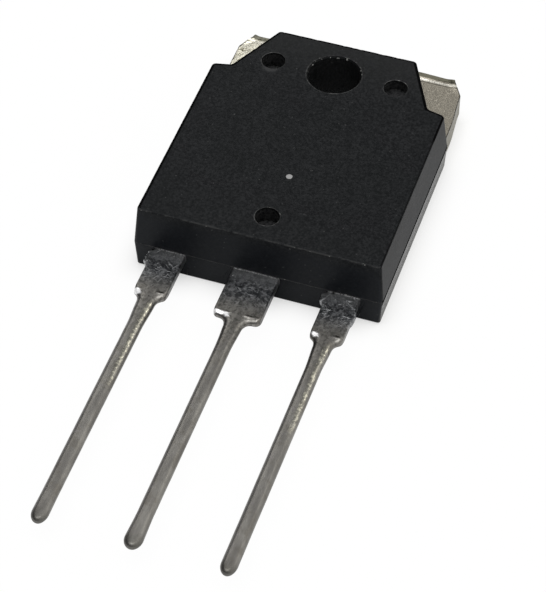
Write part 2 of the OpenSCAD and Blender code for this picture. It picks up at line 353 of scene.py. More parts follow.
def keepBeyond(skin, level, way=1):  # cuts the skin across Y, keeps the side of that way and closes it
    geometry = skin.verts[:] + skin.edges[:] + skin.faces[:]
    bmesh.ops.bisect_plane(
        skin, geom=geometry, plane_co=(0, level, 0), plane_no=(0, -way, 0), clear_outer=True
    )
    rim = [edge for edge in skin.edges if edge.is_boundary]
    bmesh.ops.holes_fill(skin, edges=rim)
    bmesh.ops.triangulate(skin, faces=[face for face in skin.faces if len(face.verts) > 4])


def cutAcross(skin, axis, level):  # splits the faces along a plane and keeps both sides
    way = Vector((0, 0, 0))
    way[axis] = 1
    geometry = skin.verts[:] + skin.edges[:] + skin.faces[:]
    snap = meshCare["snap"]
    bmesh.ops.bisect_plane(skin, geom=geometry, dist=snap, plane_co=way * level, plane_no=way)


def refine(skin, longest, chosen, settle=None, rounds=12):  # halves the chosen edges that are too long
    for _ in range(rounds):
        skin.normal_update()
        edges = [e for e in skin.edges if e.calc_length() > longest and chosen(e)]
        if not edges:
            return
        made = bmesh.ops.subdivide_edges(skin, edges=edges, cuts=1)
        if settle:
            for part in made["geom_inner"]:
                if isinstance(part, bmesh.types.BMVert):
                    settle(part)


def dropSlivers(skin):  # faces too thin to show
    slivers = [face for face in skin.faces if face.calc_area() < meshCare["thinArea"]]
    bmesh.ops.triangulate(skin, faces=[face for face in slivers if len(face.verts) > 3])
    bmesh.ops.dissolve_degenerate(skin, dist=meshCare["thin"], edges=skin.edges)


def pieceFrom(skin, name, material, sharpAngle):
    skin.normal_update()
    for edge in skin.edges:
        edge.smooth = edge.calc_face_angle(0) < math.radians(sharpAngle)
    for face in skin.faces:
        face.smooth = True
        face.material_index = 0
    mesh = bpy.data.meshes.new(name)
    skin.to_mesh(mesh)
    skin.free()
    if "custom_normal" in mesh.attributes:
        mesh.attributes.remove(mesh.attributes["custom_normal"])
    mesh.materials.clear()
    mesh.materials.append(material)
    piece = bpy.data.objects.new(name, mesh)
    scene.collection.objects.link(piece)
    return piece


def plainMesh(piece):  # the evaluated mesh takes the modifiers' place
    graph = bpy.context.evaluated_depsgraph_get()
    mesh = bpy.data.meshes.new_from_object(piece.evaluated_get(graph))
    piece.modifiers.clear()
    piece.data = mesh
    return mesh


def smoothByArea(piece):  # wide flats keep their own normal beside rounded edges
    weigh = piece.modifiers.new("weighNormals", "WEIGHTED_NORMAL")
    weigh.mode = "FACE_AREA"
    weigh.weight = 50
    weigh.keep_sharp = True
    split = piece.modifiers.new("splitFaces", "TRIANGULATE")
    split.min_vertices = 5
    split.ngon_method = "BEAUTY"
    split.keep_custom_normals = True
    plainMesh(piece)


# geometry nodes: a tree of named sizes ends in one finished mesh
def newTree(name, inputs):
    tree = bpy.data.node_groups.new(name, "GeometryNodeTree")
    tree.interface.new_socket("Geometry", in_out="OUTPUT", socket_type="NodeSocketGeometry")
    for item in inputs:
        tree.interface.new_socket(item, in_out="INPUT", socket_type="NodeSocketFloat")
    tree.interface.new_socket("Finish", in_out="INPUT", socket_type="NodeSocketMaterial")
    board = Board(tree)
    given = tree.nodes.new("NodeGroupInput")
    size = {item: Wire(board, given.outputs[item]) for item in inputs}
    return board, size, Wire(board, given.outputs["Finish"])


def closeTree(board, geometry, finish):
    whole = board.node("GeometryNodeRealizeInstances", None, {"Geometry": geometry})
    finished = board.node("GeometryNodeSetMaterial", None, {"Geometry": whole, "Material": finish})
    board.node("NodeGroupOutput", None, {"Geometry": finished})


def keepValue(board, geometry, name, value):  # a value the material reads later
    return board.node(
        "GeometryNodeStoreNamedAttribute",
        {"data_type": "FLOAT", "domain": "POINT"},
        {"Geometry": geometry, "Name": name, "Value": value},
    )


def outwards(board, distance):
    return board.scaled(board.node("GeometryNodeInputNormal"), distance)


def grow(tree, values, finish):
    piece = bpy.data.objects.new(tree.name, bpy.data.meshes.new(tree.name))
    scene.collection.objects.link(piece)
    modifier = piece.modifiers.new(tree.name, "NODES")
    modifier.node_group = tree
    for socket in tree.interface.items_tree:
        if socket.name == "Finish":
            modifier[socket.identifier] = finish
        elif socket.in_out == "INPUT":
            modifier[socket.identifier] = values[socket.name]
    mesh = plainMesh(piece)
    skin = bmesh.new()
    skin.from_mesh(mesh)
    bpy.data.objects.remove(piece)
    return skin


def addSkin(skin, other):  # joins another skin and lets it go
    mesh = bpy.data.meshes.new("joined")
    other.to_mesh(mesh)
    other.free()
    skin.from_mesh(mesh)
    bpy.data.meshes.remove(mesh)


# holes in the front face, in millimetres: middle, radii of the rim, radius of the lip of flash round it,
# and the way that the rim is palest
frontHoles = {
    "bore": {"middle": (0.0, 0.0), "radii": (1.65, 1.74), "lip": 1.745, "palest": (-0.3, -0.7)},
    "leftMark": {"middle": (-4.0, 0.0), "radii": (0.75,), "lip": 0.775, "palest": (-0.8, 0.5)},
    "rightMark": {"middle": (4.0, 0.0), "radii": (0.75,), "lip": 0.775, "palest": (-0.5, 0.8)},
    "lowMark": {"middle": (0.0, -13.1), "radii": (0.75,), "lip": 0.775, "palest": (-0.3, -0.9)},
}

# moulding compound, with its places in millimetres
mouldLook = {
    "color": (0.0006, 0.0009, 0.0013, 1),
    "paleColor": (0.0145, 0.0151, 0.0162, 1),
    "speckColor": (0.06, 0.06, 0.06, 1),
    "wornColor": (0.03, 0.03, 0.03, 1),
    # pale flecks, and the painted glints on the rims
    "fleckAndGlintColor": (0.22, 0.22, 0.21, 1),
    "rimColor": (0.075, 0.075, 0.075, 1),  # pale rings round the holes: worn lips of flash with a painted highlight
    "stripColor": (0.012, 0.012, 0.011, 1),  # sides behind the parting line
    "floorColor": (0.034, 0.034, 0.035, 1),  # floors of the pin marks
    "tongueColor": (0.019, 0.019, 0.019, 1),
    "endColor": (0.003, 0.004, 0.0065, 1),
    # painted shade: the dark rim inside the bore, the shadow line under the parting line and the shade along
    # the rounded front edges
    "shadeColor": (0.0012, 0.0012, 0.0012, 1),
    "dotColor": (0.33, 0.33, 0.33, 1),
    "dot": (0.18, -9.5, 0.21),  # middle and radius of the plain dot
    "ring": (0.025, 0.008, 0.035),  # pale ring out from a rim: middle, half width and fade
    "floorDepth": (0.2, 0.1),  # below the front face, where the floors' colour is full and where it ends
    "boreRim": 0.045,  # half width of the painted shade rim inside the bore
    "rimDepth": (0.16, 0.12),  # below the front face, where it ends and where it is full
    "tonguePale": (-1.5, 3.3),  # where the tongue grows paler
    "stripDepth": (0.36, 0.3),  # below the parting line, where the strip is full and where it ends
    "endLine": (0.02, 0.04),  # worn line on the parting line at the lead end, half width and fade
    "sideLine": (-0.14, 0.17, 0.06),  # painted shadow line under the parting line: middle, half width and fade
    "edgeLine": (0.03, 0.11),  # painted shade line inside the front face's edge, full and faded
    "rightEdge": (7.3, 7.4),  # where the painted shade line along each front edge sets in and is full
    "leftEdge": (7.2, 7.3),
    "upperEdge": (-4.0, -3.6),
    "frontTop": 2.711,  # outline of the front face
    "frontHalf": 7.435,
    "tongueSide": (0.9033, 0.4291, 5.164),  # its direction outwards, and how far along that it lies
    "shoulderSide": (0.2207, 0.9753, 0.207),
    "chipped": (-4.0, -0.74, 0.6, 0.42),  # worn patch below the left mark, middle and half sizes
    "partingLevel": 2.0,
    "sideFrom": 7.5,
    "endFrom": 14.95,
    "frontLevel": 4.8,
    "roughness": 0.52,
    "shine": 0.135,
    "shineTint": (0.9, 0.96, 1.0, 1),
    "grainDepth": 0.006 * mm,
}


def mouldMaterial(look):
    material, board = newMaterial("mouldingCompound")
    place = objectPlace(board)
    x, y, z = board.parts(place)
    grain = board.noise(place, 13.0, 3.0, 0.62)
    coarse = board.noise(place, 6.5, 3.0, 0.7, 1.0)
    cloud = board.noise(place, 0.55, 4.0, 0.6, 4.0)
    speck = board.noise(place, 5.2, 1.0, 0.5, 9.0).ramp(0.7, 0.76)
    chips = board.noise(place, 1.9, 4.0, 0.7, 2.0)
    broken = board.noise(place, 3.6, 3.0, 0.7, 3.0)
    edge = board.node("ShaderNodeAttribute", {"attribute_name": "edgeWear"}, None, "Fac")
    end = (0.0 - y).ramp(look["endFrom"], look["endFrom"] + 0.05)
    side = x.size().ramp(look["sideFrom"], look["sideFrom"] + 0.04) * (1.0 - end)
    frontLevel = look["frontLevel"]
    front = z.ramp(frontLevel - 0.03, frontLevel - 0.01)
    parting = look["partingLevel"]
    mixed = (coarse * 0.65 + grain * 0.35).ramp(0.4, 0.63) * (0.75 + 0.25 * cloud.ramp(0.3, 0.7))
    tone = board.blend(mixed, look["color"], look["paleColor"])
    tone = board.blend(y.ramp(*look["tonguePale"]) * 0.45, tone, look["tongueColor"])
    tone = board.blend(end * 0.6, tone, look["endColor"])
    tone = board.blend(speck * chips.ramp(0.35, 0.65) * 0.8, tone, look["speckColor"])
    behind = 1.0 - z.ramp(*[parting - depth for depth in look["stripDepth"]])
    tone = board.blend(side * behind * (0.7 + 0.3 * cloud), tone, look["stripColor"])
    line = z.band(parting, *look["endLine"]) * end * chips.ramp(0.3, 0.52)
    tone = board.blend(line, tone, look["wornColor"])
    belowFront = 1.0 - z.ramp(*[frontLevel - depth for depth in look["floorDepth"]])
    ringOut, ringHalf, ringFade = look["ring"]
    for name, hole in frontHoles.items():
        radius = max(hole["radii"])
        armX, armY = [axis - middle for axis, middle in zip((x, y), hole["middle"])]
        away = board.reach(armX, armY)
        if name != "bore":
            inside = (1.0 - away.ramp(radius, radius + 0.02)) * belowFront
            tone = board.blend(inside * coarse.ramp(0.3, 0.7), tone, look["floorColor"])
        # each rim's pale ring is worn flash with a painted highlight, palest towards one way, with painted
        # glints on its upper arc
        ring = (away + (coarse - 0.5) * 0.09).band(radius + ringOut, ringHalf, ringFade) * front
        wayX, wayY = hole["palest"]
        palest = (armX * wayX + armY * wayY).ramp(-0.7 * radius, 0.7 * radius)
        pale = (0.15 + 0.85 * broken.ramp(0.4, 0.58)) * (0.2 + 0.8 * palest)
        tone = board.blend(ring * pale, tone, look["rimColor"])
        glint = ring * broken.ramp(0.56, 0.64) * armY.ramp(0.3 * radius, 0.7 * radius)
        tone = board.blend(glint, tone, look["fleckAndGlintColor"])
    # painted shade round the inside of the bore's mouth, with pale torn flecks on its upper half
    boreRadius = max(frontHoles["bore"]["radii"])
    boreRim = board.reach(x, y).band(boreRadius - look["boreRim"], look["boreRim"], 0.01)
    boreRim = boreRim * z.ramp(*[frontLevel - depth for depth in look["rimDepth"]])
    torn = board.noise(place, 4.2, 2.0, 0.6, 8.0).ramp(0.6, 0.64) * y.ramp(-0.4, 0.4)
    tone = board.blend(boreRim, tone, look["shadeColor"])
    tone = board.blend(boreRim * torn, tone, look["fleckAndGlintColor"])
    patchX, patchY, patchWide, patchHigh = look["chipped"]
    patch = board.reach((x - patchX) / patchWide, (y - patchY) / patchHigh) + (coarse - 0.5) * 1.2
    patch = 1.0 - patch.ramp(0.5, 1.0)
    tone = board.blend(patch * 0.8, tone, look["floorColor"])
    dotX, dotY, dotRadius = look["dot"]
    dot = board.reach(x - dotX, y - dotY) + (grain - 0.5) * 0.06
    dot = (1.0 - dot.ramp(dotRadius - 0.03, dotRadius)) * front
    tone = board.blend(dot * (0.8 + 0.2 * grain), tone, look["dotColor"])
    sharpEdge = edge.ramp(0.55, 1.0)
    fleck = sharpEdge * board.noise(place, 3.4, 3.0, 0.7, 6.0).ramp(0.63, 0.72)
    tone = board.blend(sharpEdge * chips.ramp(0.36, 0.6), tone, look["wornColor"])
    tone = board.blend(fleck, tone, look["fleckAndGlintColor"])
    rough = look["roughness"] + (coarse - 0.5) * 0.25 - end * 0.06 + dot * 0.1
    rough = rough - side * (0.1 + 0.15 * behind)
    bump = board.bump(0.8, look["grainDepth"], grain * 0.5 + coarse)
    skin = board.node(
        "ShaderNodeBsdfPrincipled",
        None,
        {
            "Base Color": tone,
            "Roughness": rough,
            "Normal": bump,
            "Specular IOR Level": look["shine"],
            "Specular Tint": look["shineTint"],
        },
    )
    # a plain dark shader, mixed in for the painted shade
    shadeSheet = board.node("ShaderNodeBsdfDiffuse", None, {"Color": look["shadeColor"]})
    dull = 0.15 + 0.25 * cloud  # sides above the parting line are darkened by mixing in the dark shader, with a painted shadow line under its edge
    lineMiddle, lineHalf, lineFade = look["sideLine"]
    under = z.band(parting + lineMiddle, lineHalf, lineFade)
    paintedShade = side * under.atLeast(z.ramp(parting - 0.02, parting) * dull)
    slant, shoulder = [
        far - (x.size() * wayX + y * wayY) for wayX, wayY, far in (look["tongueSide"], look["shoulderSide"])
    ]
    inset = (look["frontTop"] - y).atMost(slant.atLeast(shoulder)).atMost(x + look["frontHalf"])
    # painted shade along the rounded front edges and just inside the front face's outline
    rounded = edge.ramp(0.2, 0.38) * x.ramp(*look["rightEdge"]) * 0.6
    rounded = rounded.atLeast((1.0 - inset.ramp(*look["edgeLine"])) * front * 0.9)
    upperLeft = y.ramp(*look["upperEdge"]).atLeast((0.0 - x).ramp(*look["leftEdge"]))
    rounded = rounded.atLeast(edge.ramp(0.03, 0.14) * upperLeft * 0.9)
    paintedShade = paintedShade.atLeast(rounded * (1.0 - edge.ramp(0.5, 0.6)))
    shader = board.node("ShaderNodeMixShader", None, {0: paintedShade, 1: skin, 2: shadeSheet})
    closeMaterial(board, shader)
    return material


mouldFinish = mouldMaterial(mouldLook)
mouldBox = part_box("mould_body")

mouldShape = {
    "edgeRadius": 0.12 * mm,
    "edgeStep": 0.11 * mm,  # longest stretch along the worn front edge
    "edgeLoss": 0.03 * mm,
    "rimStep": 0.09 * mm,
    "nearly": 0.004 * mm,  # how exactly a point has to lie on a rim or an edge
    "sharpAngle": 40,
}


def makeMouldBody(shape):
    skin = cadCopy("mould_body")
    nearly = shape["nearly"]
    holes = [
        (Vector([place * mm for place in hole["middle"]]), [radius * mm for radius in hole["radii"]])
        for hole in frontHoles.values()
    ]
    for axis, radii in holes:  # rounder rims than the frame's facets
        for radius in radii:
            def onRing(edge):
                low, high = edge.verts
                level = abs(low.co.z - high.co.z) < nearly
                short = ((low.co + high.co).xy / 2 - axis).length > 0.97 * radius
                return level and short and all(
                    abs((v.co.xy - axis).length - radius) < nearly for v in edge.verts
                )

            def ontoRing(vert):
                arm = vert.co.xy - axis
                arm *= radius / arm.length
                vert.co.x, vert.co.y = axis + arm

            refine(skin, shape["rimStep"], onRing, ontoRing)
    top = mouldBox[1].z
    foot = top - shape["edgeRadius"]

    def onFrontEdge(vert):
        return vert.co.z > foot - nearly and all(
            (vert.co.xy - middle).length > max(rims) + nearly for middle, rims in holes
        )

    def alongFrontEdge(edge):
        slanted = any(face.normal.z < 0.999 for face in edge.link_faces)
        return slanted and all(onFrontEdge(v) for v in edge.verts)

    skin.normal_update()
    refine(skin, shape["edgeStep"], alongFrontEdge)
    skin.normal_update()
    wear = skin.verts.layers.float.new("edgeWear")
    for vert in skin.verts:
        if onFrontEdge(vert) and foot + nearly < vert.co.z < top - nearly:
            vert[wear] = max(0.3, min(1.0, 0.4 - vert.normal.y))  # most along the lead end
            chip = noise.noise(vert.co / mm * 2.3) + 0.5 * noise.noise(vert.co / mm * 7.0)
            vert.co -= vert.normal * shape["edgeLoss"] * max(0.0, chip)
    dropSlivers(skin)
    piece = pieceFrom(skin, "mouldBody", mouldFinish, shape["sharpAngle"])
    smoothByArea(piece)
    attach(piece, "root")
    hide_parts("mould_body")
    return piece


mouldBody = makeMouldBody(mouldShape)
print("moulding made:", len(mouldBody.data.polygons), "faces")


# flash of the moulding: lips round the holes, the ridge on the parting line and slivers beside the leads
flashBead = {
    "shakeScale": 2600.0,
    "swellScale": 1500.0,
    "sides": 8,
    "sharpAngle": 60,
}
lipShape = {
    "Lip": 0.02 * mm,
    "Wobble": 0.05 * mm,
    "Level": 4.79 * mm,
    "points": 140,
}
ridgeShape = {
    "Lip": 0.03 * mm,
    "Wobble": 0.03 * mm,
    "step": 0.036 * mm,
}
ridges = [  # both ends in millimetres: the parting line on the lead end, and slivers beside the leads
    {"start": (-7.55, -15.095, 2.005), "end": (7.55, -15.095, 2.005), "Seed": 5.0},
    {"start": (-1.58, -15.05, 1.98), "end": (-1.78, -16.05, 1.9), "Seed": 6.0},
    {"start": (6.75, -15.06, 1.67), "end": (6.4, -15.08, 0.4), "Seed": 7.0},
    {"start": (-4.36, -15.04, 0.75), "end": (-4.4, -15.08, 0.3), "Seed": 8.0},
]


def circleCurve(board, points, radius):
    return board.node(
        "GeometryNodeCurvePrimitiveCircle", None, {"Resolution": points, "Radius": radius}
    )


def sweepLip(board, size, curve):  # a thin wavering bead along a curve
    spot = board.node("GeometryNodeInputPosition")
    shake = board.node(
        "ShaderNodeTexNoise",
        {"noise_dimensions": "4D"},
        {"Vector": spot, "Scale": flashBead["shakeScale"], "W": size["Seed"]},
        "Color",
    )
    shake = board.vector("SUBTRACT", shake, (0.5, 0.5, 0.5))
    shake = board.scaled(shake, size["Wobble"])
    curve = board.node("GeometryNodeSetPosition", None, {"Geometry": curve, "Offset": shake})
    swell = board.noise(spot, flashBead["swellScale"], 3.0, 0.65, size["Seed"]).ramp(0.32, 0.66)
    ring = circleCurve(board, flashBead["sides"], size["Lip"])
    bead = board.node(
        "GeometryNodeCurveToMesh",
        None,
        {"Curve": curve, "Profile Curve": ring, "Scale": 0.25 + swell, "Fill Caps": True},
    )
    return keepValue(board, bead, "edgeWear", 0.35 + 0.65 * swell)


def lipTree():
    places = ["Middle X", "Middle Y", "Level", "Radius"]
    board, size, finish = newTree("rimLip", places + ["Lip", "Wobble", "Seed"])
    circle = circleCurve(board, lipShape["points"], size["Radius"])
    middle = board.node(
        "ShaderNodeCombineXYZ", None, {"X": size["Middle X"], "Y": size["Middle Y"], "Z": size["Level"]}
    )
    placed = board.node("GeometryNodeSetPosition", None, {"Geometry": circle, "Offset": middle})
    closeTree(board, sweepLip(board, size, placed), finish)
    return board.tree


def ridgeTree():
    ends = ["Start X", "Start Y", "Start Z", "End X", "End Y", "End Z"]
    board, size, finish = newTree("resinRidge", ends + ["Lip", "Wobble", "Seed"])
    start, end = [
        board.node("ShaderNodeCombineXYZ", None, {axis: size[f"{which} {axis}"] for axis in "XYZ"})
        for which in ("Start", "End")
    ]
    line = board.node("GeometryNodeCurvePrimitiveLine", None, {"Start": start, "End": end})
    line = board.node(
        "GeometryNodeResampleCurve", {"mode": "LENGTH"}, {"Curve": line, "Length": ridgeShape["step"]}
    )
    closeTree(board, sweepLip(board, size, line), finish)
    return board.tree


def makeFlash():
    skin = bmesh.new()
    tree = lipTree()
    for seed, hole in enumerate(frontHoles.values(), 1):
        middleX, middleY = hole["middle"]
        places = {"Middle X": middleX * mm, "Middle Y": middleY * mm, "Radius": hole["lip"] * mm}
        addSkin(skin, grow(tree, {**lipShape, **places, "Seed": float(seed)}, mouldFinish))
    tree = ridgeTree()
    for ridge in ridges:
        places = {f"Start {axis}": value * mm for axis, value in zip("XYZ", ridge["start"])}
        places.update({f"End {axis}": value * mm for axis, value in zip("XYZ", ridge["end"])})
        addSkin(skin, grow(tree, {**ridgeShape, **places, "Seed": ridge["Seed"]}, mouldFinish))
    bmesh.ops.recalc_face_normals(skin, faces=skin.faces)
    piece = pieceFrom(skin, "mouldFlash", mouldFinish, flashBead["sharpAngle"])
    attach(piece, "root")
    return piece


mouldFlash = makeFlash()
print("flash made:", len(mouldFlash.data.polygons), "faces")


# plated header plate, with its places in millimetres
plateLook = {
    "color": (0.45, 0.415, 0.345, 1),
    # pale grain of the plating, also the painted highlight along the cove
    "paleGrainAndHighlight": (0.95, 0.92, 0.83, 1),
    "leftReflectColor": (0.92, 0.89, 0.76, 1),  # painted reflection: the left ear is painted brighter, as if it mirrored a lamp
    "leftReflectDark": (0.3, 0.28, 0.19, 1),
    "darkColor": (0.13, 0.122, 0.085, 1),
    "creaseColor": (0.035, 0.032, 0.024, 1),
    "edgeColor": (0.2, 0.188, 0.15, 1),  # sheared sides
    "darkReflectColor": (0.035, 0.034, 0.024, 1),  # painted dark reflection on the outer part of the rolled top edge and on the burrs of the cut corners
    "earHalf": 7.55,
    "top": 4.75,
    "cut": (0.7, 1.15),  # width and height cut from each ear's corner
    "cove": 0.6,
    "thick": 2.0,
    "bent": (0.19, 1.3, 0.6, 3.6),  # the right ear leans in: how far, over what width, and its span along Y
    "roughness": 0.3,
    "grainDepth": 0.023 * mm,
}


def cutLine(look):  # the cut corner's way outwards, and how far along it the cut lies
    cutWide, cutHigh = look["cut"]
    slope = math.hypot(cutWide, cutHigh)
    wayX = cutHigh / slope
    wayY = cutWide / slope
    return wayX, wayY, wayX * look["earHalf"] + wayY * (look["top"] - cutHigh)


def plateMaterial(look):
    material, board = newMaterial("platedCopper")
    place = objectPlace(board)
    x, y, z = board.parts(place)
    grain = board.noise(place, 9.0, 3.0, 0.65)
    mottle = board.noise(place, 4.6, 3.0, 0.66, 5.0)
    slanted = board.vector("MULTIPLY", board.turned(place, 0.9), (2.2, 0.8, 1.0))
    streak = board.noise(slanted, 2.2, 3.0, 0.65, 2.0)
    waver = (board.noise(place, 4.0, 3.0, 0.6, 8.0) - 0.5) * 0.12
    left = 1.0 - x.ramp(-2.0, 2.0)
    tone = board.blend(mottle.ramp(0.54, 0.7) * 0.25, look["color"], look["darkColor"])
    tone = board.blend(grain.ramp(0.54, 0.7) * 0.5, tone, look["paleGrainAndHighlight"])
    # painted reflection of a bright lamp on the left ear, broken by darker slanted streaks
    plated = board.blend(streak.ramp(0.5, 0.62), look["leftReflectColor"], look["leftReflectDark"])
    tone = board.blend(left, tone, plated)
    wayX, wayY, cutReach = cutLine(look)
    bent, bentWide, bentFoot, bentTop = look["bent"]
    inner = look["earHalf"] - look["cut"][0]
    reachX = x.size() + x.ramp(inner - bentWide, inner) * y.ramp(bentFoot, bentTop) * bent
    toSide = look["earHalf"] - reachX
    toCut = cutReach - (reachX * wayX + y * wayY)
    upper = z.ramp(look["thick"] - 0.14, look["thick"] - 0.1)
    sheared = 1.0 - z.ramp(look["thick"] - 0.16, look["thick"] - 0.06)
    coveFoot = look["top"] - look["cove"]
    rolled = y.ramp(coveFoot + 0.08, coveFoot + 0.15)
    tone = board.blend(sheared * (1.0 - rolled), tone, look["edgeColor"])
    crease = (1.0 - (toSide + waver * 0.6).ramp(0.02, 0.08)) * upper * mottle.ramp(0.3, 0.5)
    tone = board.blend(crease * (1.0 - rolled), tone, look["creaseColor"])
    rim = (1.0 - (toCut + waver * 0.4).ramp(0.04, 0.1)) * upper  # burr along the cut corner, with a painted dark reflection
    tone = board.blend(rim * 0.9, tone, look["darkReflectColor"])
    line = (y + waver * 0.5).band(coveFoot + 0.02, 0.015, 0.03) * (1.0 - 0.6 * left)
    tone = board.blend(line * 0.8, tone, look["creaseColor"])
    # painted highlight along the cove below the top edge
    coveHighlight = (y + waver * 0.3).band(coveFoot + 0.17, 0.07, 0.05)
    tone = board.blend(coveHighlight * (0.5 + 0.5 * grain), tone, look["paleGrainAndHighlight"])
    # painted dark reflection on the outer part of the rolled top edge
    outer = (y + waver * 0.5).ramp(coveFoot + 0.27, coveFoot + 0.4)
    tone = board.blend(outer * 0.95, tone, look["darkReflectColor"])
    rough = look["roughness"] + (grain - 0.5) * 0.3 + sheared * 0.12
    height = grain * 0.5 + mottle + left * streak
    closeMetal(board, tone, 1.0, rough, board.bump(0.8, look["grainDepth"], height))
    return material


plateFinish = plateMaterial(plateLook)
plateShape = {
    "cutLevel": -12.3 * mm,  # inside the moulding, where the middle lead goes on
    "earFoot": -1.2 * mm,
    "earInner": 4.6 * mm,
    "earCell": 0.113 * mm,  # the ears are cut into cells of that size
    "earStep": 0.12 * mm,  # longest edge that stays on them
    "wave": 0.006 * mm,
    "waveFoot": 0.45,  # millimetres, the rolled back edge below it stays smooth
    "burr": (0.2 * mm, 0.15 * mm),  # height of the burr at the top of the left and right cut corners
    "burrWidth": (0.32, 0.5),  # millimetres
    "topDip": 0.07 * mm,  # the top edge is lower beside the moulding
    "sharpAngle": 32,
}


def smoothStep(low, high, value):
    share = min(1.0, max(0.0, (value - low) / (high - low)))
    return share * share * (3 - 2 * share)


def makeHeaderPlate(shape, look):
    skin = cadCopy("collector_header")
    keepBeyond(skin, shape["cutLevel"])
    rows = int((look["top"] * mm - shape["earFoot"]) / shape["earCell"])
    for row in range(rows + 1):
        cutAcross(skin, 1, shape["earFoot"] + row * shape["earCell"])
    columns = int((look["earHalf"] * mm - shape["earInner"]) / shape["earCell"])
    for column in range(columns + 1):
        level = shape["earInner"] + column * shape["earCell"]
        cutAcross(skin, 0, level)
        cutAcross(skin, 0, -level)
    refine(skin, shape["earStep"], lambda edge: all(v.co.y > shape["earFoot"] for v in edge.verts))
    skin.normal_update()
    wayX, wayY, cutReach = cutLine(look)
    cutWide, cutHigh = look["cut"]
    coveFoot = look["top"] - look["cove"]
    bent, bentWide, bentFoot, bentTop = look["bent"]
    inner = look["earHalf"] - cutWide
    for vert in skin.verts:
        x, y, z = vert.co / mm
        vert.co.x -= bent * mm * smoothStep(inner - bentWide, inner, x) * smoothStep(bentFoot, bentTop, y)
        if y < shape["earFoot"] / mm or z < shape["waveFoot"]:
            continue
        vert.co += vert.normal * shape["wave"] * noise.noise(vert.co / mm * 2.1)
        if z > look["thick"] - 0.3:
            toCut = cutReach - (abs(x) * wayX + y * wayY)
            along = smoothStep(look["top"] - cutHigh - 0.1, look["top"], y)
            inCove = smoothStep(coveFoot, look["top"], y)
            ear = int(x > 0)
            burr = along * (1 - smoothStep(0.0, shape["burrWidth"][ear], toCut))
            vert.co.z += shape["burr"][ear] * burr * (1 - 0.55 * inCove)
            vert.co.z -= shape["topDip"] * inCove * (1 - smoothStep(0.2, 1.2, toCut * 0.5))
    dropSlivers(skin)
    piece = pieceFrom(skin, "headerPlate", plateFinish, shape["sharpAngle"])
    smoothByArea(piece)
    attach(piece, "root")
    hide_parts("collector_header")
    return piece


headerPlate = makeHeaderPlate(plateShape, plateLook)
print("header plate made:", len(headerPlate.data.polygons), "faces")


# tinned leads, with their places along Y in millimetres
tinLook = {
    "color": (0.272, 0.263, 0.245, 1),
    "dullColor": (0.185, 0.178, 0.167, 1),
    # painted highlight of the solder beads along the outer leads
    "beadHighlightColor": (0.66, 0.64, 0.53, 1),
    "blueColor": (0.36, 0.37, 0.385, 1),  # bruised upper part beside the moulding
    "darkColor": (0.055, 0.058, 0.063, 1),
    "violetColor": (0.235, 0.222, 0.23, 1),  # stains along the left of the narrow part
    "pitColor": (0.075, 0.074, 0.066, 1),
    "stainColor": (0.15, 0.138, 0.118, 1),
    "glintColor": (0.95, 0.95, 0.96, 1),
    "scratchColor": (0.55, 0.56, 0.57, 1),
    # painted shade in the creases beside the nubs and in the notches by the moulding
    "shadeMarkColor": (0.02, 0.019, 0.016, 1),
    # painted shade along the left edge of the leads
    "rimColor": (0.1, 0.097, 0.09, 1),
    "exitLevel": -15.1,  # where the leads leave the moulding
    "bruised": (-18.5, -16.6),  # sets in, and is full towards the moulding
    "mottled": (-23.5, -19.0),
    "dipped": (-36.0, -35.2),  # darker tips, full and faded
    "beaded": (-26.5, -25.0, -19.6, -19.0),  # sets in, is full, and fades again
    "roughness": 0.34,
    "grainDepth": 0.014 * mm,
}


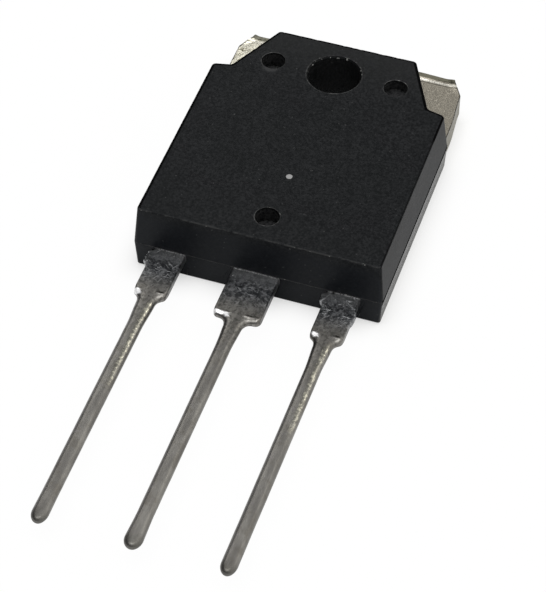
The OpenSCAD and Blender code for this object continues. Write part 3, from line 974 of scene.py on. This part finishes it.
def tinMaterial(look):
    material, board = newMaterial("tinnedCopper")
    place = objectPlace(board)
    across, along, _ = board.parts(place)
    side = board.node("ShaderNodeAttribute", {"attribute_name": "leadSide"}, None, "Fac")
    mark = board.node("ShaderNodeAttribute", {"attribute_name": "leadMark"}, None, "Fac")
    grain = board.noise(place, 9.0, 3.0, 0.6)
    pits = board.noise(place, 4.6, 4.0, 0.72, 5.0)
    blotch = board.noise(place, 3.3, 4.0, 0.72, 7.0)
    streak = board.noise(board.vector("MULTIPLY", place, (1.0, 0.2, 1.0)), 2.4, 3.0, 0.6, 3.0)
    tone = board.blend(streak.ramp(0.36, 0.66), look["dullColor"], look["color"])
    tone = board.blend(blotch.ramp(0.5, 0.64) * (1.0 - side.ramp(-0.6, 0.4)) * 0.6, tone, look["violetColor"])
    stain = board.noise(place, 1.1, 4.0, 0.68, 11.0)
    tone = board.blend(stain.ramp(0.48, 0.66) * 0.5, tone, look["stainColor"])
    mottled = along.ramp(*look["mottled"])
    tone = board.blend(pits.ramp(0.44, 0.62) * mottled * 0.8, tone, look["pitColor"])
    bruised = (along + (blotch - 0.5) * 1.6).ramp(*look["bruised"])
    bruise = board.blend(blotch.ramp(0.4, 0.6), look["blueColor"], look["darkColor"])
    bruise = board.blend(grain.ramp(0.58, 0.74) * 0.4, bruise, look["scratchColor"])
    scratch = None
    for angle, seed in ((0.5, 1.0), (-0.8, 2.0), (1.5, 3.0)):
        thin = board.vector("MULTIPLY", board.turned(place, angle), (7.0, 1.2, 3.0))
        strokes = board.noise(thin, 1.3, 2.0, 0.55, seed).ramp(0.64, 0.7)
        scratch = strokes if scratch is None else scratch.atLeast(strokes)
    bruise = board.blend(pits.ramp(0.46, 0.58) * 0.75, bruise, look["darkColor"])
    bruise = board.blend(scratch * 0.62, bruise, look["scratchColor"])
    atExit = along.ramp(look["exitLevel"] - 1.3, look["exitLevel"]) * (0.25 + 0.5 * grain)
    bruise = board.blend(atExit, bruise, look["scratchColor"])
    exitLine = along.band(look["exitLevel"] - 0.06, 0.03, 0.05) * grain.ramp(0.4, 0.55)
    bruise = board.blend(exitLine, bruise, look["glintColor"])
    tone = board.blend(bruised, tone, bruise)
    # painted shade along the left edge of each lead, fading towards the moulding
    rim = (1.0 - side.ramp(-1.0, -0.15)) * (0.05 + 0.4 * streak) * (1.0 - 0.8 * mottled)
    tone = board.blend(rim, tone, look["rimColor"])
    atTip = (1.0 - along.ramp(*look["dipped"])) * (0.35 + 0.5 * grain)
    tone = board.blend(atTip, tone, look["pitColor"])
    # painted shade marks in creases and notches, and painted glints on the nubs
    glint = (0.0 - mark).clamp()
    tone = board.blend(mark.clamp(), tone, look["shadeMarkColor"])
    tone = board.blend(glint, tone, look["glintColor"])
    # painted highlight along the beads on the right of the outer leads: a soft sheen with brighter drops
    low, lowFull, highFull, high = look["beaded"]
    beaded = along.ramp(low, lowFull) * (1.0 - along.ramp(highFull, high)) * side.band(0.5, 0.2, 0.15)
    beaded = beaded * across.size().ramp(2.0, 3.0)  # on the outer leads alone
    highlightDrops = board.noise(place, 5.5, 1.0, 0.5, 13.0).ramp(0.5, 0.62)
    tone = board.blend(beaded * (0.2 + 0.6 * highlightDrops), tone, look["beadHighlightColor"])
    rough = look["roughness"] + (pits - 0.5) * 0.3 * mottled - beaded * 0.18 - glint * 0.2
    rough = rough + (1.0 - mottled) * 0.07
    height = streak * 0.5 + mottled * pits * 0.8 + bruised * (blotch + grain * 0.6 + scratch * 0.5)
    bump = board.bump(0.9, look["grainDepth"], height)
    closeMetal(board, tone, 1.0 - glint * 0.75, rough, bump)
    return material


tinFinish = tinMaterial(tinLook)
leadShape = {
    "Thickness": 0.6 * mm,
    "Narrow Width": 0.95 * mm,
    "Tip Y": -36.22 * mm,
    "Nose Length": 0.72 * mm,
    "Nose Thinning": 0.1,
    "Middle Z": 1.7 * mm,
    "Shoulder Radius": 0.34 * mm,
    "Neck Radius": 0.6 * mm,
    "Neck Flare": 0.1 * mm,  # extra half width below the shoulders
    "Flare Length": 2.2 * mm,
    "Wide Edge": 0.09 * mm,
    "Nub Edge": 0.26 * mm,
    "Nub Length": 0.5 * mm,
    "Narrow Edge": 0.28 * mm,
    "Wide Crown": 0.015 * mm,  # how far the top falls away to its edges
    "Narrow Crown": 0.1 * mm,
    "Swell Length": 2.6 * mm,
    "Lump": 0.02 * mm,
    "Lump Scale": 900.0,
    "Bead Scale": 4200.0,
    "Bead Top": -19.4 * mm,
    "Bead Top Fade": 0.4 * mm,
    "Bead Foot": -25.5 * mm,
    "Bead Foot Fade": 1.5 * mm,
    "trim": 0.35 * mm,  # cut off the inner end, inside the moulding
    "arcSteps": 24,
    "around": 97,  # points round the lead and along it
    "along": 680,
    "sharpAngle": 60,
}
leads = {
    "baseLead": {
        "node": "base_lead", "post": -14.45 * mm, "Axis X": -5.45 * mm, "Start Y": -14.0 * mm,
        "Wide Width": 2.0 * mm, "Shoulder Y": -18.64 * mm, "Neck Y": -19.06 * mm,
        "Tip Swell": 0.05, "Bead": 0.03 * mm, "Seed": 1.0,
        # lugs: side, middle and half length along Y, reach
        # painted shade marks and painted glints: side share, Y and their half sizes
        "lugs": [(-1, -15.85, 0.8, 0.24)],
        "marks": [(0.62, -18.42, 0.3, 0.05), (-0.95, -15.25, 0.2, 0.18), (0.1, -18.9, 0.1, 0.07)],
        "glints": [(-0.9, -18.66, 0.22, 0.22)],
    },
    "collectorLead": {
        "node": "collector_header", "post": None, "Axis X": 0.0, "Start Y": -11.9 * mm,
        "Wide Width": 2.9 * mm, "Shoulder Y": -18.84 * mm, "Neck Y": -18.98 * mm,
        "Tip Swell": 0.16, "Bead": 0.012 * mm, "Seed": 2.0,
        "lugs": [],
        "marks": [(0.62, -18.5, 0.34, 0.045)],
        "glints": [(-0.72, -18.78, 0.2, 0.17), (-0.92, -18.66, 0.1, 0.14)],
    },
    "emitterLead": {
        "node": "emitter_lead", "post": -14.45 * mm, "Axis X": 5.45 * mm, "Start Y": -14.0 * mm,
        "Wide Width": 2.0 * mm, "Shoulder Y": -18.64 * mm, "Neck Y": -19.06 * mm,
        "Tip Swell": 0.02, "Bead": 0.045 * mm, "Seed": 3.0,
        "lugs": [(-1, -15.65, 0.5, 0.24), (1, -16.5, 0.7, 0.1)],
        "marks": [(0.6, -18.4, 0.25, 0.06), (-0.62, -15.2, 0.1, 0.14)],
        "glints": [(-0.74, -18.6, 0.24, 0.18)],
    },
}
leadInputs = [name for name in {**leadShape, **leads["baseLead"]} if name[0].isupper()]


def leadTree():
    board, size, finish = newTree("tinnedLead", leadInputs)
    tree = board.tree

    def point(x, y):
        return board.node("ShaderNodeCombineXYZ", None, {"X": x, "Y": y})

    # half outline: along the inner end, the wide part, the shoulder, the narrow part and round the tip
    wide = size["Wide Width"] * 0.5
    narrow = size["Narrow Width"] * 0.5
    noseTop = size["Tip Y"] + size["Nose Length"]
    roundTip = narrow * 0.98  # drawn round, then stretched to the nose's length
    corners = [
        point(0.0, size["Start Y"]),
        point(wide, size["Start Y"]),
        point(wide, size["Shoulder Y"]),
        point(narrow, size["Neck Y"]),
        point(narrow, noseTop - roundTip),
        point(0.0, noseTop - roundTip),
    ]
    radii = [0.0, size["Wide Edge"], size["Shoulder Radius"], size["Neck Radius"], roundTip, 0.0]
    index = board.node("GeometryNodeInputIndex")

    def pick(kind, items):
        switch = tree.nodes.new("GeometryNodeIndexSwitch")
        switch.data_type = kind
        while len(switch.index_switch_items) < len(items):
            switch.index_switch_items.new()
        tree.links.new(index.socket, switch.inputs[0])
        for slot, item in enumerate(items):
            if isinstance(item, Wire):
                tree.links.new(item.socket, switch.inputs[slot + 1])
            else:
                switch.inputs[slot + 1].default_value = item
        return Wire(board, switch.outputs[0])

    line = board.node("GeometryNodeMeshLine", None, {"Count": len(corners)})
    placed = board.node(
        "GeometryNodeSetPosition", None, {"Geometry": line, "Position": pick("VECTOR", corners)}
    )
    curve = board.node("GeometryNodeMeshToCurve", None, {"Mesh": placed})
    outline = board.node(
        "GeometryNodeFilletCurve",
        {"mode": "POLY"},
        {
            "Curve": curve,
            "Count": leadShape["arcSteps"],
            "Radius": pick("FLOAT", radii),
            "Limit Radius": True,
        },
    )

    # a grid is wrapped round the outline: X turns about the lead, Y runs along it
    counts = {"Vertices X": leadShape["around"], "Vertices Y": leadShape["along"]}
    grid = board.node("GeometryNodeMeshGrid", None, {"Size X": 1.0, "Size Y": 1.0, **counts})
    across, down, _ = board.parts(board.node("GeometryNodeInputPosition"))
    sample = board.node(
        "GeometryNodeSampleCurve", {"mode": "FACTOR"}, {"Curves": outline, "Factor": 0.5 - down}, "Position"
    )
    halfWidth, level, _ = board.parts(sample)
    nose = (noseTop - level).atLeast(0.0) / roundTip
    level = level + nose * (roundTip - size["Nose Length"])
    heading = Wire(board, sample.socket.node.outputs["Tangent"])
    headingX, headingY, _ = board.parts(heading)
    outX = 0.0 - headingY  # outward across the outline
    outY = headingX
    narrowing = 1.0 - ((halfWidth - narrow) / (wide - narrow)).clamp()
    nearNeck = level.ramp(size["Neck Y"] - size["Flare Length"], size["Neck Y"])
    nearTip = 1.0 - (level - size["Tip Y"]).ramp(0.0, size["Swell Length"])
    nearNub = 1.0 - level.ramp(size["Shoulder Y"], size["Shoulder Y"] + size["Nub Length"])
    halfWidth = halfWidth.atLeast(0.0) + size["Neck Flare"] * nearNeck * narrowing * outX.atLeast(0.0)
    halfWidth = halfWidth * (1.0 + size["Tip Swell"] * nearTip)
    halfThick = size["Thickness"] * (0.5 - 0.5 * size["Nose Thinning"] * nose * nose)
    wideEdge = size["Wide Edge"] + (size["Nub Edge"] - size["Wide Edge"]) * nearNub
    edge = (wideEdge + (size["Narrow Edge"] - wideEdge) * narrowing).atMost(halfThick * 0.96)

    flatShare = 0.5  # of the points on each side of the section, the rest turn its corner
    turn = (across + 0.5) * 4.0
    side = turn.floor()
    share = turn - side
    slide = (share / flatShare).atMost(1.0) * 2.0 - 1.0
    swing = (((share - flatShare) / (1.0 - flatShare)).atLeast(0.0) + side) * (math.pi / 2)
    face = side * (math.pi / 2)
    coreX = face.cos() - slide * face.sin()
    coreZ = face.sin() + slide * face.cos()
    x = coreX * (halfWidth - outX * edge).atLeast(0.0) + outX * edge * swing.cos()
    y = level - outY * edge * (1.0 - swing.cos().size())
    z = coreZ * (halfThick - edge) + edge * swing.sin()
    sideShare = x / halfWidth.atLeast(narrow)
    crown = size["Wide Crown"] + (size["Narrow Crown"] - size["Wide Crown"]) * narrowing
    z = z * (1.0 - sideShare * sideShare * crown * 2.0 / size["Thickness"])
    place = board.node(
        "ShaderNodeCombineXYZ", None, {"X": x + size["Axis X"], "Y": y, "Z": z + size["Middle Z"]}
    )
    marked = keepValue(board, grid, "leadSide", sideShare)
    wrapped = board.node("GeometryNodeSetPosition", None, {"Geometry": marked, "Position": place})
    closed = board.node(
        "GeometryNodeMergeByDistance", None, {"Geometry": wrapped, "Distance": meshCare["snap"]}
    )

    # the solder coat is a little uneven, and set in beads along the right of the upper narrow part
    spot = board.node("GeometryNodeInputPosition")
    level = board.parts(spot)[1]
    sideShare = board.node("GeometryNodeInputNamedAttribute", {"data_type": "FLOAT"}, {"Name": "leadSide"})
    lump = board.noise(spot, size["Lump Scale"], 2.0, 0.5, size["Seed"]) - 0.5
    bead = board.noise(spot, size["Bead Scale"], 1.0, 0.5, size["Seed"]) - 0.5
    beaded = level.ramp(size["Bead Foot"] - size["Bead Foot Fade"], size["Bead Foot"])
    beaded = beaded * (1.0 - level.ramp(size["Bead Top"] - size["Bead Top Fade"], size["Bead Top"]))
    beaded = beaded * sideShare.band(0.5, 0.22, 0.2)
    raised = lump * size["Lump"] + bead * size["Bead"] * beaded
    coated = board.node(
        "GeometryNodeSetPosition", None, {"Geometry": closed, "Offset": outwards(board, raised)}
    )
    closeTree(board, coated, finish)
    return tree


def markLead(skin, lead):  # remains of the cut webs, painted shade marks in creases and notches, and painted glints
    sides = skin.verts.layers.float["leadSide"]
    marks = skin.verts.layers.float.new("leadMark")
    for vert in skin.verts:
        share = vert[sides]
        y = vert.co.y / mm
        for side, middle, half, reach in lead["lugs"]:
            outer = smoothStep(0.55, 1.0, share * side)
            bulge = outer * (1 - smoothStep(0.35, 1.0, abs(y - middle) / half))
            rough = 1 + 0.5 * noise.noise(Vector((y * 6, vert.co.z / mm * 2, side)))
            vert.co.x += side * reach * mm * bulge * rough
        if vert.co.z < leadShape["Middle Z"]:
            continue
        spots = [(spot, 1) for spot in lead["marks"]] + [(spot, -1) for spot in lead["glints"]]
        for (middleShare, middle, halfShare, half), sign in spots:
            shift = 0.06 * noise.noise(Vector((share * 5, y * 3, middle)))
            away = max(abs(share - middleShare) / halfShare, abs(y - middle + shift) / half)
            vert[marks] += sign * (1 - smoothStep(0.5, 1.0, away))


def makeLead(name, lead, tree):
    skin = grow(tree, {**leadShape, **lead}, tinFinish)
    keepBeyond(skin, lead["Start Y"] - leadShape["trim"], -1)
    bmesh.ops.recalc_face_normals(skin, faces=skin.faces)
    markLead(skin, lead)
    if lead["post"] is not None:  # the bonding post inside the moulding
        post = cadCopy(lead["node"])
        keepBeyond(post, lead["post"])
        addSkin(skin, post)
    piece = pieceFrom(skin, name, tinFinish, leadShape["sharpAngle"])
    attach(piece, "root")
    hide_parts(lead["node"])
    return piece


leadNodes = leadTree()
for leadName, leadValues in leads.items():
    leadPiece = makeLead(leadName, leadValues, leadNodes)
    print(leadName, "made:", len(leadPiece.data.polygons), "faces")


# inner pieces keep their frame solids
innerLooks = {
    "softSolder": {
        "nodes": ["die_solder"],
        "color": (0.42, 0.43, 0.44, 1),
        "darkColor": (0.3, 0.31, 0.32, 1),
        "roughness": 0.45,
        "metallic": 1.0,
        "grainScale": 5.0,
    },
    "silicon": {
        "nodes": ["transistor_die"],
        "color": (0.13, 0.14, 0.17, 1),
        "darkColor": (0.09, 0.1, 0.13, 1),
        "roughness": 0.2,
        "metallic": 0.3,
        "grainScale": 2.0,
    },
    "bondWire": {
        "nodes": ["base_bond_wire", "emitter_bond_wire"],
        "color": (0.82, 0.83, 0.84, 1),
        "darkColor": (0.7, 0.71, 0.72, 1),
        "roughness": 0.3,
        "metallic": 1.0,
        "grainScale": 9.0,
    },
}
innerGrainDepth = 0.004 * mm


def innerMaterial(name, look):
    material, board = newMaterial(name)
    place = objectPlace(board)
    grain = board.noise(place, look["grainScale"], 3.0, 0.6)
    tone = board.blend(grain.ramp(0.3, 0.7), look["color"], look["darkColor"])
    rough = look["roughness"] + (grain - 0.5) * 0.2
    closeMetal(board, tone, look["metallic"], rough, board.bump(0.4, innerGrainDepth, grain))
    return material


for finishName, innerLook in innerLooks.items():
    innerFinish = innerMaterial(finishName, innerLook)
    for nodeName in innerLook["nodes"]:
        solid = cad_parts[nodeName]
        solid.data.materials.clear()
        solid.data.materials.append(innerFinish)
print("inner pieces finished")
